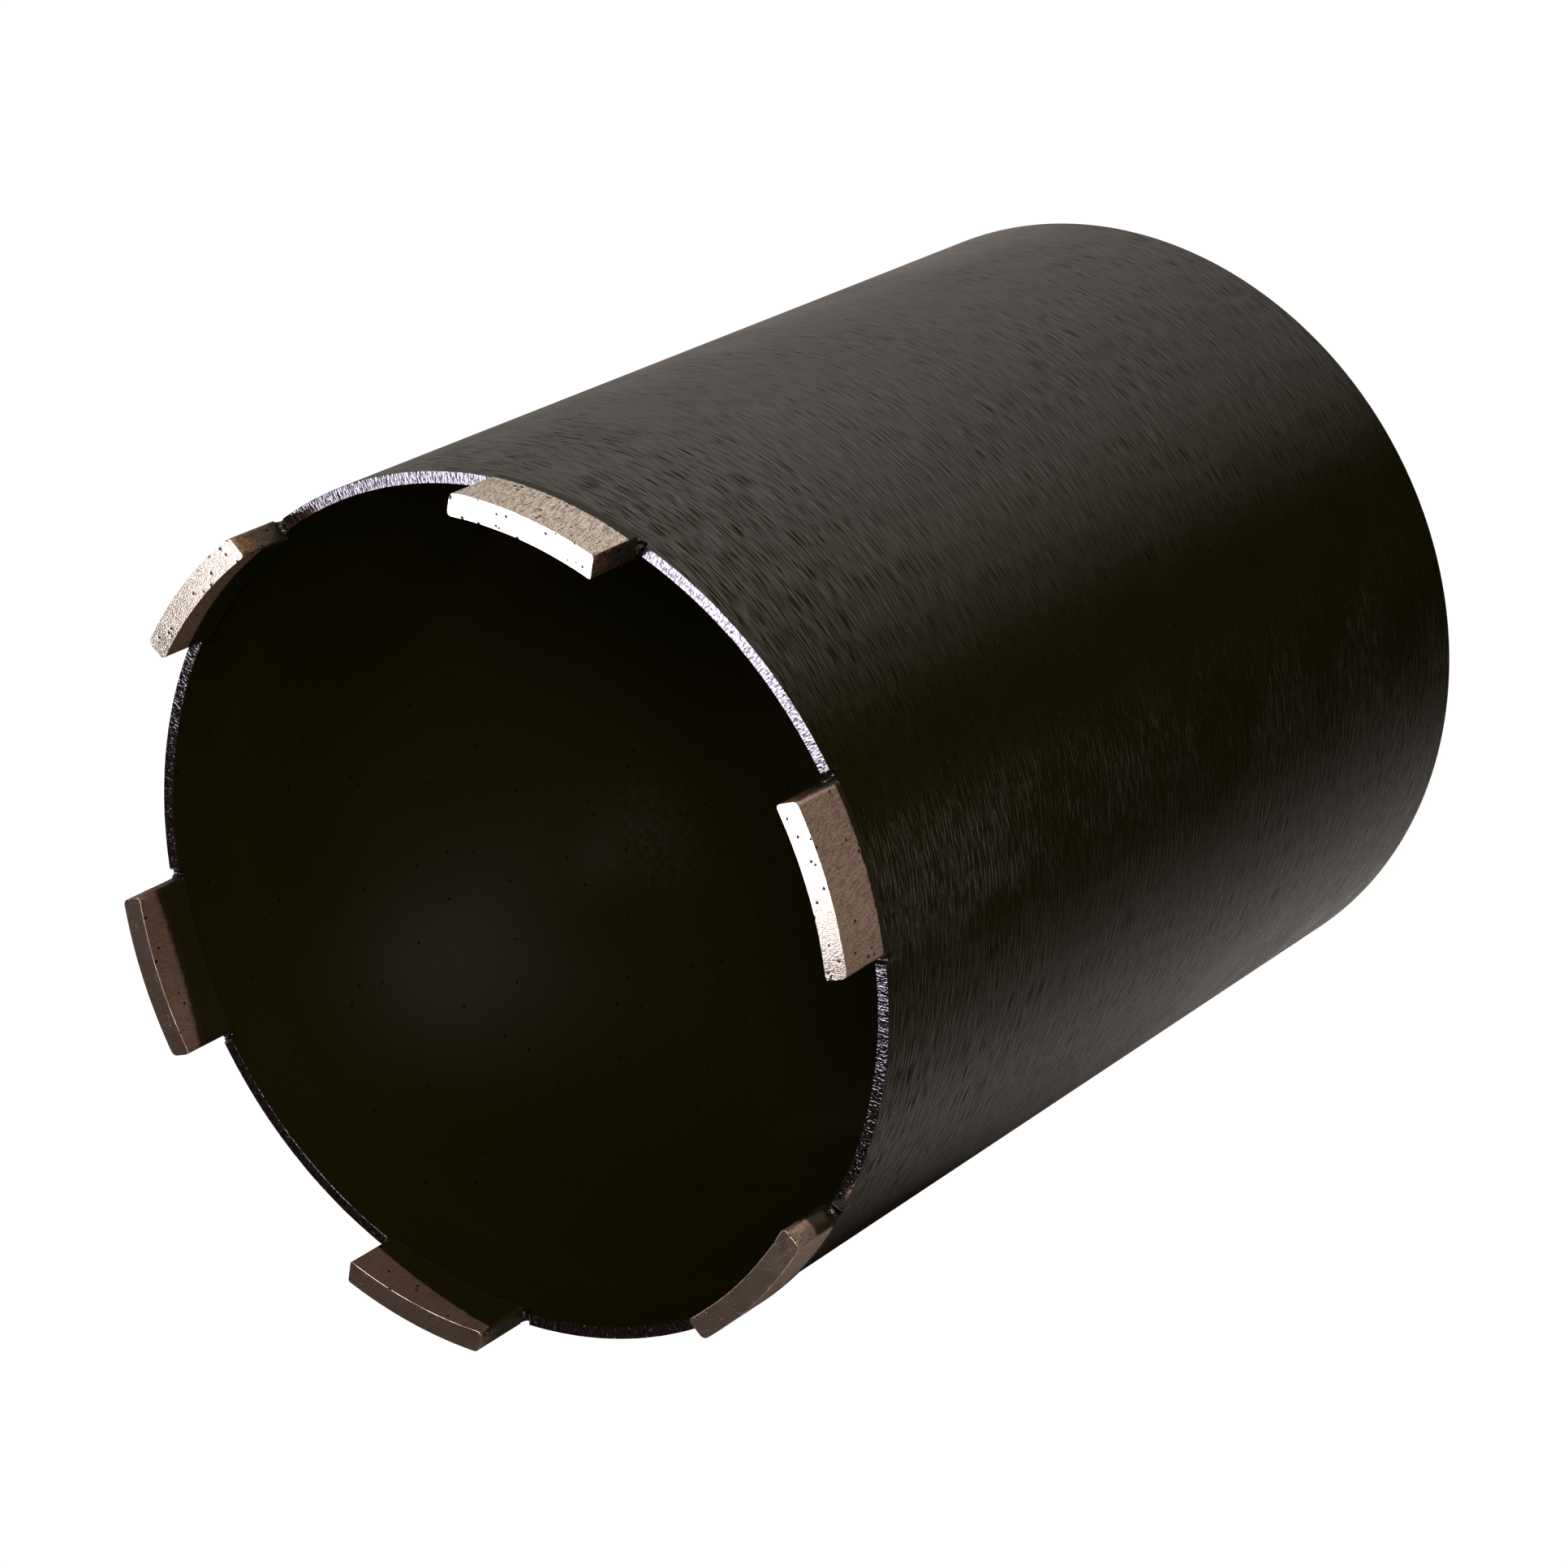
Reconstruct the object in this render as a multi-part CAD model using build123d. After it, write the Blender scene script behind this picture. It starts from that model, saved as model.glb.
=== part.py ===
from build123d import *
import os

# Diamond core bit, in millimetres. It stands on the end of its hub with the mouth up:
# +Z runs along the axis and out of the mouth, and the origin is the centre of the hub's end face.

# Cutting crown
cutting_diameter = 127.0
segment_count = 6
segment_length = 24.0
segment_height = 9.7
segment_outside_proud = 0.6
segment_inside_proud = 1.05
segment_corner_radius = 0.8
segment_edge_chamfer = 0.2

# Barrel
barrel_length = 157.3
barrel_wall = 1.9
barrel_back_chamfer = 0.4
mouth_band_depth = 0.15
mouth_band_length = 13.2

# Back plate, pressed into the barrel and welded flush
back_plate_thickness = 8.0
back_plate_clearance = 0.05
back_plate_edge_chamfer = 1.0

# Hub, turned from bar, with a spigot through the back plate
hub_diameter = 36.0
hub_length = 22.0
hub_end_chamfer = 1.0
hub_weld_leg = 4.0
spanner_flats = 32.0
spanner_flat_length = 13.0
spigot_diameter = 29.0
spigot_clearance = 0.05

# Drive thread, drawn at its major diameter, and the pilot's bore beyond it
thread_diameter = 20.955
thread_length = 20.0
thread_chamfer = 1.0
pilot_bore_diameter = 18.6

# What follows from the sizes above
barrel_radius = cutting_diameter / 2 - segment_outside_proud
barrel_bore_radius = barrel_radius - barrel_wall
mouth_radius = barrel_bore_radius + mouth_band_depth
segment_outer_radius = cutting_diameter / 2
segment_inner_radius = mouth_radius - segment_inside_proud
back_plate_radius = barrel_bore_radius - back_plate_clearance
spigot_hole_radius = spigot_diameter / 2 + spigot_clearance
back_z = hub_length
rim_z = back_z + barrel_length
plate_inner_z = back_z + back_plate_thickness


def turned(points):
    """A solid of revolution about +Z from its half section, given as (radius, height) points."""
    section = make_face(Polyline([(r, 0, z) for r, z in points], close=True))
    return revolve(section, Axis.Z)


def barrel():
    """The tube: its mouth is bored out by a shallow band, and its back edge is broken."""
    band_z = rim_z - mouth_band_length
    return turned([
        (barrel_bore_radius, back_z),
        (barrel_radius - barrel_back_chamfer, back_z),
        (barrel_radius, back_z + barrel_back_chamfer),
        (barrel_radius, rim_z),
        (mouth_radius, rim_z),
        (mouth_radius, band_z),
        (barrel_bore_radius, band_z - mouth_band_depth),
    ])


def back_plate():
    """The disc that closes the barrel, with a hole for the hub's spigot."""
    return turned([
        (spigot_hole_radius, back_z),
        (back_plate_radius, back_z),
        (back_plate_radius, plate_inner_z - back_plate_edge_chamfer),
        (back_plate_radius - back_plate_edge_chamfer, plate_inner_z),
        (spigot_hole_radius, plate_inner_z),
    ])


def hub():
    """The threaded hub: its shoulder seats on the plate, with a fillet weld round it, and has two flats."""
    thread_radius = thread_diameter / 2
    pilot_radius = pilot_bore_diameter / 2
    hub_radius = hub_diameter / 2
    body = turned([
        (thread_radius + thread_chamfer, 0),
        (hub_radius - hub_end_chamfer, 0),
        (hub_radius, hub_end_chamfer),
        (hub_radius, back_z - hub_weld_leg),
        (hub_radius + hub_weld_leg, back_z),
        (spigot_diameter / 2, back_z),
        (spigot_diameter / 2, plate_inner_z),
        (pilot_radius, plate_inner_z),
        (pilot_radius, thread_length),
        (thread_radius, thread_length),
        (thread_radius, thread_chamfer),
    ])
    waste = Box(hub_diameter, hub_diameter, spanner_flat_length, align=(Align.MIN, Align.CENTER, Align.MIN))
    for turn in (0, 180):
        body -= Rot(0, 0, turn) * Pos(spanner_flats / 2, 0, 0) * waste
    return body


def segment(number):
    """One sintered segment: concentric inside and out, parallel ends, seated on the rim."""
    ring = Circle(segment_outer_radius) - Circle(segment_inner_radius)
    die = Pos(segment_outer_radius, 0) * Rectangle(segment_outer_radius, segment_length)
    plan = ring & die
    plan = fillet(plan.vertices(), segment_corner_radius)
    block = extrude(plan, segment_height)
    block = chamfer(block.faces().sort_by(Axis.Z)[-1].edges(), segment_edge_chamfer)
    return Rot(0, 0, number * 360 / segment_count) * Pos(0, 0, rim_z) * block


def main():
    os.makedirs("parts", exist_ok=True)
    parts = {"barrel": barrel(), "back_plate": back_plate(), "hub": hub()}
    for number in range(segment_count):
        parts[f"segment_{number + 1}"] = segment(number)
    for name, shape in parts.items():
        export_step(shape, f"parts/{name}.step")


main()
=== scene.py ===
import math
import random

import bmesh
import bpy
import numpy as np
from mathutils import Matrix, Vector, noise


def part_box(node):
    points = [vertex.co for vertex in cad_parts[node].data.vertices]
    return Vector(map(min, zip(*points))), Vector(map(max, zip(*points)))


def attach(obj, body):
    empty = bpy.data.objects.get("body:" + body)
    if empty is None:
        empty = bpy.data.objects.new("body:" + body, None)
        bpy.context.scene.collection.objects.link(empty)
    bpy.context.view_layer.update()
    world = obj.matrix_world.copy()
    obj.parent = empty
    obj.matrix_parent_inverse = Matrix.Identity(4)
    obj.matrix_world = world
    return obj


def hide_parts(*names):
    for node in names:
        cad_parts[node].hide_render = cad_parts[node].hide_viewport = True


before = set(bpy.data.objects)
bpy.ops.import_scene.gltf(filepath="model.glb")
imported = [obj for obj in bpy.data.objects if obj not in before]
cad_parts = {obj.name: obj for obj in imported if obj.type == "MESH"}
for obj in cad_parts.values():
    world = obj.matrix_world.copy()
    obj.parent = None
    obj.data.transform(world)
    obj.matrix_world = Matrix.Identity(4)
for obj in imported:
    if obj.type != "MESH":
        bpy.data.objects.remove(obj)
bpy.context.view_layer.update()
scene = bpy.context.scene
scene.view_settings.view_transform = "Standard"
MM = 0.001

# The camera looks down into the mouth of the bit, which stands on its hub. It is rolled over, so that
# the barrel runs across the frame from the lower left to the upper right, as it does in the photograph.
camera_place = Vector((322.50, -325.89, 656.67)) * MM
camera_aim = Vector((-1.23, -1.23, 114.38)) * MM
camera_roll = math.radians(117.71)

view_line = (camera_aim - camera_place).normalized()
level_side = view_line.cross(Vector((0, 0, 1))).normalized()
level_up = level_side.cross(view_line)
camera_up = level_up * math.cos(camera_roll) + level_side * math.sin(camera_roll)
camera_turn = Matrix((view_line.cross(camera_up), camera_up, -view_line)).transposed()

camera = bpy.data.objects.new("camera", bpy.data.cameras.new("camera"))
camera.data.sensor_width = 36.0
camera.data.lens = 110.29
camera.matrix_world = Matrix.Translation(camera_place) @ camera_turn.to_4x4()
scene.collection.objects.link(camera)
scene.camera = camera

# The barrel is a steel tube, turned round its outside and sprayed all over with satin black lacquer. The
# coat is thin, so the turning marks show through it. The rim was ground flat after spraying and is bare,
# and the weld of each segment ran out in a small crater there.
barrel_low, barrel_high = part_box("barrel")
back_height = barrel_low.z / MM
rim_height = barrel_high.z / MM
barrel_radius = min(barrel_high.x, barrel_high.y) / MM
barrel_wall, back_chamfer = 1.9, 0.4
mouth_band, mouth_band_depth = 13.2, 0.15
bore_radius = barrel_radius - barrel_wall
mouth_radius = bore_radius + mouth_band_depth
plate_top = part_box("back_plate")[1].z / MM
rim_round = 0.04
# The rim's edges waver and its top dips by these, in grains of a ninetieth of the radius.
rim_ragged, rim_dips, ragged_grain, ragged_reach = 0.04, 0.03, 90, 0.35
# The heights of the tube's rows, and the depths below the rim of the closest ones.
rows_outside, rows_inside = (40, 70, 100, 130, 155, 168), (160, 130, 100, 70, 45)
rows_near_rim = (4.0, 2.0, 1.2, 0.8, 0.5, 0.3, rim_round)
# The steps between its columns, in degrees: in plain places, at a crater, and the least that is kept.
column_step, crater_step, least_step = 0.5, 0.08, 0.04
crater_columns = 24
seam_turn = math.radians(135)

segment_count, segment_length, crown_radius = 6, 24.0, 62.0
segment_ends = [(number, end) for number in range(1, segment_count + 1) for end in (-1, 1)]
segment_end_turn = math.asin(segment_length / 2 / crown_radius)
crater_width, crater_beyond_end, crater_depth_plain = 1.4, 0.55, 0.5
# The other craters: the segment, which of its ends (-1 is the one that the turn reaches first), and mm.
crater_depths = {(4, 1): 1.0, (3, -1): 0.75, (3, 1): 0.6, (1, -1): 0.9, (2, -1): 0.8, (1, 1): 0.1}
# How far below the rim a crater draws the wall down, and how many half widths its soot reaches.
crater_fade, soot_reach = 3.0, 1.5

# The inside coat is a shade paler than the outside: a painted lift that makes up for the dim light
# inside the barrel.
lacquer_outside, lacquer_inside_painted_lift = "#131303", "#161602"
lacquer_index = 1.5
lacquer_roughness, inside_roughness = 0.22, 0.17
soot_black = "#060505"
dust_grey = "#6b6762"
worn_lacquer_and_sheen = "#2a2623"
rim_steel_dark, rim_steel_light = "#413e45", "#837e8b"
rim_scab = "#1f1d21"
rim_roughness = 0.06
# Real turning marks are about 0.1 mm apart. They are drawn 0.36 mm apart, to show in the render.
dash_length, dash_width, dash_depth = 4.5, 0.36, 0.07
score_length, score_width, score_depth, score_cover = 4.5, 0.27, 0.008, (0.53, 0.66)
ripple_length, ripple_width, ripple_depth = 12.0, 1.2, 0.010
coat_shine, dash_shine, score_shine, least_shine = 0.55, 1.0, 0.3, 0.02
mark_boldness, mouth_boldness, mouth_reach = (0.6, 1.15), 1.8, 45.0
inside_boldness = 0.015
turning_lean = math.radians(-6)
patch_size, patch_roughness = 13.0, 0.06
speck_spacing, speck_radius, pinhole_radius, spot_core = 11.0, 0.06, 0.30, 0.6
rim_mark_width, rim_mark_length, rim_mark_depth = 0.32, 0.90, 0.024
scab_cover, scab_strength = (0.58, 0.66), 0.7
spray_fray, spray_fray_depth = 0.5, 0.10
spray_chip, spray_chip_depth, spray_chip_cover = 0.6, 0.30, (0.6, 0.72)
# A pale speckled patch inside: worn lacquer, and partly a painted sheen.
wear_sheen_turn, wear_sheen_height, wear_sheen_reach = math.radians(134), 77.0, 17.0
wear_sheen_speckle, wear_sheen_cover, wear_sheen_strength = 1.1, (0.48, 0.72), 0.5


def linear(code):
    """The linear colour of an sRGB hex value."""
    parts = [int(code[i:i + 2], 16) / 255 for i in (1, 3, 5)]
    return tuple(((p + 0.055) / 1.055) ** 2.4 if p > 0.04045 else p / 12.92 for p in parts) + (1.0,)


def put(tree, kind, inputs=None, **settings):
    """Adds a node. Each input takes a value, a node for its first output, or one output of a node."""
    node = tree.nodes.new("ShaderNode" + kind)
    for name, value in settings.items():
        setattr(node, name, value)
    for name, value in (inputs or {}).items():
        if isinstance(value, bpy.types.Node):
            value = next(out for out in value.outputs if out.enabled)
        if isinstance(value, bpy.types.NodeSocket):
            tree.links.new(value, node.inputs[name])
        else:
            node.inputs[name].default_value = value
    return node


def new_material(name):
    """A material with an empty tree, and the surface's place in millimetres."""
    made = bpy.data.materials.new(name)
    made.use_nodes = True
    tree = made.node_tree
    tree.nodes.clear()
    here = put(tree, "TexCoord").outputs["Object"]
    return made, tree, put(tree, "VectorMath", {0: here, 1: (1 / MM,) * 3}, operation="MULTIPLY")


def lacquered_turned_steel():
    """Satin black lacquer over turned steel: short dashes of sheen round it, and a glittering rim."""
    made, tree, place = new_material("lacquered_turned_steel")
    unrolled = put(tree, "UVMap", uv_map="unrolled")
    outside = put(tree, "Attribute", attribute_name="outside").outputs["Fac"]
    soot = put(tree, "Attribute", attribute_name="soot").outputs["Fac"]
    height = put(tree, "SeparateXYZ", {0: place}).outputs["Z"]

    # Three sets of marks run round the tube: the dashes, a few deeper scores and broad ripples.
    sizes = ((dash_length, dash_width), (score_length, score_width), (ripple_length, ripple_width))
    marks = []
    for length, width in sizes:
        along = {"Vector": unrolled, "Rotation": (0, 0, turning_lean), "Scale": (length, width, 1)}
        along = put(tree, "Mapping", along, vector_type="TEXTURE")
        along = {"Vector": along, "Scale": 1.0, "Detail": 1.0}
        marks.append(put(tree, "TexNoise", along, noise_dimensions="2D"))
    dashes, scores, ripple = marks
    low, high = score_cover
    scores = put(tree, "MapRange", {"Value": scores, "From Min": low, "From Max": high})
    scores = put(tree, "Math", {0: scores, 1: outside}, operation="MULTIPLY")
    textures = []
    for size in (patch_size, spray_fray, spray_chip):
        scaled = put(tree, "Mapping", {"Vector": place, "Scale": (size,) * 3}, vector_type="TEXTURE")
        textures.append(put(tree, "TexNoise", {"Vector": scaled, "Scale": 1.0}))
    patches, fray, chips = textures

    # Dust specks lie on the outside, and pinholes in the coat inside.
    spots = {"Vector": unrolled, "Scale": (speck_spacing,) * 3}
    spots = put(tree, "Mapping", spots, vector_type="TEXTURE")
    spots = put(tree, "TexVoronoi", {"Vector": spots, "Scale": 1.0}, voronoi_dimensions="2D")
    kinds = []
    for radius in (speck_radius, pinhole_radius):
        reach = {"From Min": spot_core * radius / speck_spacing, "From Max": radius / speck_spacing}
        kinds.append(put(tree, "MapRange", {"Value": spots, "To Min": 1.0, "To Max": 0.0, **reach}))
    speck, pinhole = kinds

    # The spray ends in a frayed and chipped edge at the rim, and the steel above it is bare.
    low, high = spray_chip_cover
    chips = {"Value": chips, "From Min": low, "From Max": high, "To Max": spray_chip_depth}
    chips = put(tree, "MapRange", chips)
    edge = put(tree, "Math", {0: fray, 1: spray_fray_depth, 2: height}, operation="MULTIPLY_ADD")
    edge = put(tree, "Math", {0: edge, 1: chips}, operation="ADD")
    reach = {"From Min": rim_height - 0.02, "From Max": rim_height + 0.02}
    bare = put(tree, "MapRange", {"Value": edge, **reach})
    clean = put(tree, "Math", {0: 1.0, 1: soot}, operation="SUBTRACT")
    bare = put(tree, "Math", {0: bare, 1: clean}, operation="MULTIPLY")

    size = (rim_mark_width, rim_mark_length, 1)
    rim_marks = put(tree, "Mapping", {"Vector": unrolled, "Scale": size}, vector_type="TEXTURE")
    rim_marks = {"Vector": rim_marks, "Scale": 1.0, "Detail": 2.0}
    rim_marks = put(tree, "TexNoise", rim_marks, noise_dimensions="2D")
    share = put(tree, "MapRange", {"Value": rim_marks, "From Min": 0.35, "From Max": 0.65})
    steel = {0: share, 6: linear(rim_steel_dark), 7: linear(rim_steel_light)}
    steel = put(tree, "Mix", steel, data_type="RGBA")
    low, high = scab_cover
    scab = {"Value": fray, "From Min": low, "From Max": high, "To Max": scab_strength}
    scab = put(tree, "MapRange", scab)
    steel = put(tree, "Mix", {0: scab, 6: steel, 7: linear(rim_scab)}, data_type="RGBA")

    # Worn lacquer shows as a pale speckled patch on the inside, about a point on the far wall.
    # The patch is partly real wear and partly a painted sheen.
    middle = (bore_radius * math.cos(wear_sheen_turn), bore_radius * math.sin(wear_sheen_turn), wear_sheen_height)
    far = put(tree, "VectorMath", {0: place, 1: middle}, operation="DISTANCE")
    reach = {"From Min": 0.2 * wear_sheen_reach, "From Max": wear_sheen_reach}
    far = put(tree, "MapRange", {"Value": far, "To Min": 0.12, "To Max": -0.12, **reach})
    speckle = {"Vector": place, "Scale": (wear_sheen_speckle,) * 3}
    speckle = put(tree, "Mapping", speckle, vector_type="TEXTURE")
    speckle = {"Vector": speckle, "Scale": 1.0, "Detail": 5.0, "Roughness": 0.7}
    speckle = put(tree, "TexNoise", speckle)
    wear_and_sheen = put(tree, "Math", {0: speckle, 1: far}, operation="ADD")
    low, high = wear_sheen_cover
    wear_and_sheen = {"Value": wear_and_sheen, "From Min": low, "From Max": high, "To Max": wear_sheen_strength}
    wear_and_sheen = put(tree, "MapRange", wear_and_sheen)
    not_outside = put(tree, "Math", {0: 1.0, 1: outside}, operation="SUBTRACT")
    pairs = ((wear_and_sheen, not_outside), (pinhole, not_outside), (speck, outside))
    wear_and_sheen, pinhole, speck = [put(tree, "Math", {0: a, 1: b}, operation="MULTIPLY") for a, b in pairs]

    coat = {0: outside, 6: linear(lacquer_inside_painted_lift), 7: linear(lacquer_outside)}
    coat = put(tree, "Mix", coat, data_type="RGBA")
    over = ((wear_and_sheen, worn_lacquer_and_sheen), (speck, dust_grey), (pinhole, soot_black), (soot, soot_black))
    for share, shade in over:
        coat = put(tree, "Mix", {0: share, 6: coat, 7: linear(shade)}, data_type="RGBA")
    colour = put(tree, "Mix", {0: bare, 6: coat, 7: steel}, data_type="RGBA")

    low, high = lacquer_roughness - patch_roughness, lacquer_roughness + patch_roughness
    gloss = put(tree, "MapRange", {"Value": patches, "To Min": low, "To Max": high})
    gloss = put(tree, "Mix", {0: outside, 2: inside_roughness, 3: gloss})
    gloss = put(tree, "Mix", {0: bare, 2: gloss, 3: rim_roughness})

    # The marks are bolder in some patches than in others, and boldest near the mouth.
    low, high = mark_boldness
    bold = {"Value": patches, "From Min": 0.3, "From Max": 0.65, "To Min": low, "To Max": high}
    bold = put(tree, "MapRange", bold)
    near = {"Value": height, "From Min": rim_height - mouth_reach, "From Max": rim_height - 5}
    near = put(tree, "MapRange", {"To Min": 1.0, "To Max": mouth_boldness, **near})
    bold = put(tree, "Math", {0: bold, 1: near}, operation="MULTIPLY")
    dashes = put(tree, "Math", {0: dashes, 1: 0.5}, operation="SUBTRACT")
    dashes = put(tree, "Math", {0: dashes, 1: bold}, operation="MULTIPLY")
    scores = put(tree, "Math", {0: scores, 1: bold}, operation="MULTIPLY")
    relief = put(tree, "Math", {0: dashes, 1: dash_depth * MM}, operation="MULTIPLY")
    relief = put(tree, "Math", {0: ripple, 1: ripple_depth * MM, 2: relief}, operation="MULTIPLY_ADD")
    relief = put(tree, "Math", {0: scores, 1: -score_depth * MM, 2: relief}, operation="MULTIPLY_ADD")
    share = put(tree, "MapRange", {"Value": outside, "To Min": inside_boldness})
    relief = put(tree, "Math", {0: relief, 1: share}, operation="MULTIPLY")
    rim_relief = put(tree, "Math", {0: rim_marks, 1: rim_mark_depth * MM}, operation="MULTIPLY")
    relief = put(tree, "Mix", {0: bare, 2: relief, 3: rim_relief})
    bump = put(tree, "Bump", {"Strength": 1.0, "Distance": 1.0, "Height": relief})

    # The troughs of the marks are duller than the ridges between them, and a pinhole hardly shines.
    shine = put(tree, "Math", {0: dashes, 1: outside}, operation="MULTIPLY")
    shine = put(tree, "Math", {0: shine, 1: dash_shine, 2: coat_shine}, operation="MULTIPLY_ADD")
    shine = put(tree, "Math", {0: scores, 1: -score_shine, 2: shine}, operation="MULTIPLY_ADD")
    shine = put(tree, "Math", {0: pinhole, 1: -coat_shine, 2: shine}, operation="MULTIPLY_ADD")
    shine = put(tree, "Math", {0: shine, 1: least_shine}, operation="MAXIMUM")
    look = {"Base Color": colour, "Metallic": bare, "Roughness": gloss, "Normal": bump}
    look["IOR"] = lacquer_index
    look["Specular IOR Level"] = put(tree, "Mix", {0: bare, 2: shine, 3: 0.5})
    put(tree, "OutputMaterial", {"Surface": put(tree, "BsdfPrincipled", look)})
    return made


def tube_section():
    """The tube's outline as (radius, height) points: up the outside, over the rim and down the bore."""
    outside = [(barrel_radius, back_height + back_chamfer), (barrel_radius, back_height + 0.7)]
    outside += [(barrel_radius, h) for h in rows_outside]
    outside += [(barrel_radius, rim_height - d) for d in rows_near_rim]
    bend = rim_round * (1 - math.sqrt(0.5))
    inner, outer = mouth_radius + rim_round, barrel_radius - rim_round
    rim = [(barrel_radius - bend, rim_height - bend)]
    rim += [(outer + (inner - outer) * t, rim_height) for t in (0, 0.2, 0.4, 0.6, 0.8, 1)]
    rim += [(mouth_radius + bend, rim_height - bend)]
    band = rim_height - mouth_band
    inside = [(mouth_radius, rim_height - d) for d in reversed(rows_near_rim)]
    inside += [(mouth_radius, rim_height - 8), (mouth_radius, band + 0.8)]
    inside += [(mouth_radius - 0.02, band + 0.5), (bore_radius + 0.02, band - 0.5)]
    inside += [(bore_radius, h) for h in (band - 0.8,) + rows_inside]
    inside += [(bore_radius, plate_top + 0.5), (bore_radius, back_height + 0.3)]
    foot = [(bore_radius, back_height), (barrel_radius - back_chamfer, back_height)]
    return outside + rim + inside + foot


def end_turn(number, end, beyond):
    """The turn of a place on the rim, this many millimetres beyond one end of a segment."""
    middle = 2 * math.pi * (number - 1) / segment_count
    return middle + end * (segment_end_turn + beyond / barrel_radius)


def crater_list():
    """Each weld run-out's turn and depth."""
    found = []
    for key in segment_ends:
        found.append((end_turn(*key, crater_beyond_end), crater_depths.get(key, crater_depth_plain)))
    return found


def column_turns():
    """The turns of the tube's columns, from its seam: even, and closer together at each crater."""
    steps = [math.radians(k * column_step) for k in range(round(360 / column_step))]
    near = range(-crater_columns, crater_columns + 1)
    for turn, _ in crater_list():
        steps += [(turn - seam_turn + math.radians(k * crater_step)) % (2 * math.pi) for k in near]
    kept = []
    for step in sorted(steps):
        if not kept or step - kept[-1] > math.radians(least_step):
            kept.append(step)
    return [seam_turn + step for step in kept]


def build_mesh(name, points, faces):
    """A mesh from points in millimetres, with its faces turned outwards."""
    mesh = bpy.data.meshes.new(name)
    mesh.from_pydata((np.asarray(points) * MM).tolist(), [], faces)
    bm = bmesh.new()
    bm.from_mesh(mesh)
    bmesh.ops.recalc_face_normals(bm, faces=bm.faces)
    bm.to_mesh(mesh)
    bm.free()
    return mesh


def set_marks(mesh, **marks):
    """Writes one number a point for each named mark, for the material to read."""
    for name, values in marks.items():
        values = np.asarray(values, np.float32)
        mesh.attributes.new(name, "FLOAT", "POINT").data.foreach_set("value", values)


def tube_mesh():
    """The tube, with craters sunk in the rim and its edges a little ragged, and its unrolled places."""
    section, turns = np.array(tube_section()), column_turns()
    rows = len(section)
    path = np.concatenate([[0], np.cumsum(np.hypot(*np.diff(section, axis=0).T))])
    below = rim_height - section[:, 1]
    pulled = np.clip(1 - below / crater_fade, 0, 1)
    outside = section[:, 0] > (barrel_radius + bore_radius) / 2
    in_wall = np.where(outside, -1, 1)
    points, soot = [], []
    for turn in turns:
        drop, burnt = 0.0, 0.0
        for centre, depth in crater_list():
            off = (turn - centre + math.pi) % (2 * math.pi) - math.pi
            away = abs(off) * barrel_radius / (crater_width / 2)
            drop = max(drop, depth * math.sqrt(max(0.0, 1 - away ** 2)))
            burnt = max(burnt, min(1.0, 2 * depth) * (1 - min(1.0, away / soot_reach) ** 2))
        round_rim = Vector((math.cos(turn), math.sin(turn), 0)) * ragged_grain
        ragged = 0.5 + 0.5 * noise.noise(round_rim)
        radius = section[:, 0] + rim_ragged * ragged * (below < ragged_reach) * in_wall
        height = section[:, 1] - (drop + rim_dips * ragged) * pulled
        points += [(r * math.cos(turn), r * math.sin(turn), h) for r, h in zip(radius, height)]
        soot += list(burnt * np.clip(1 - below, 0, 1))
    faces, unrolled = [], []
    for i in range(len(turns)):
        j = (i + 1) % len(turns)
        here = (turns[i] - turns[0]) * barrel_radius
        there = (turns[j] - turns[0]) * barrel_radius if j else 2 * math.pi * barrel_radius
        for k in range(rows):
            n = (k + 1) % rows
            faces.append((i * rows + k, j * rows + k, j * rows + n, i * rows + n))
            top = path[n] if n else path[k] + back_chamfer
            unrolled.append({i * rows + k: (here, path[k]), j * rows + k: (there, path[k]),
                             j * rows + n: (there, top), i * rows + n: (here, top)})
    mesh = build_mesh("barrel_tube", points, faces)
    places = mesh.uv_layers.new(name="unrolled").data
    for face, corners in zip(mesh.polygons, unrolled):
        for loop in face.loop_indices:
            places[loop].uv = corners[mesh.loops[loop].vertex_index]
    set_marks(mesh, soot=soot, outside=list(outside.astype(float)) * len(turns))
    return mesh


def add_piece(name, mesh, made):
    """Puts a mesh in the scene as a piece that rides on the bit."""
    piece = bpy.data.objects.new(name, mesh)
    scene.collection.objects.link(piece)
    mesh.materials.append(made)
    mesh.polygons.foreach_set("use_smooth", [True] * len(mesh.polygons))
    mesh.set_sharp_from_angle(angle=math.radians(20))
    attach(piece, "root")
    return piece


tube = add_piece("barrel_tube", tube_mesh(), lacquered_turned_steel())
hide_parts("barrel")

# Each segment was welded along its foot by a beam that stopped at its ends, and left a few burnt drops
# of melted steel in the corner there. They are rough and black with scale, and glint where it is thin.
drop_black, drop_grey = "#0f0d0c", "#4a4650"
drop_grain, drop_relief = 0.35, 0.05
drops_an_end, drop_size, drop_lumps = 4, (0.22, 0.36), 0.35
spatters_an_end, spatter_size, spatter_reach = 3, (0.08, 0.15), 1.2
drop_radii = (61.3, 62.5)
# At these ends the drops are larger and stand higher.
heavy_growth = 1.7
heavy_ends = {(1, -1), (2, -1), (6, 1), (5, 1)}


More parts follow.
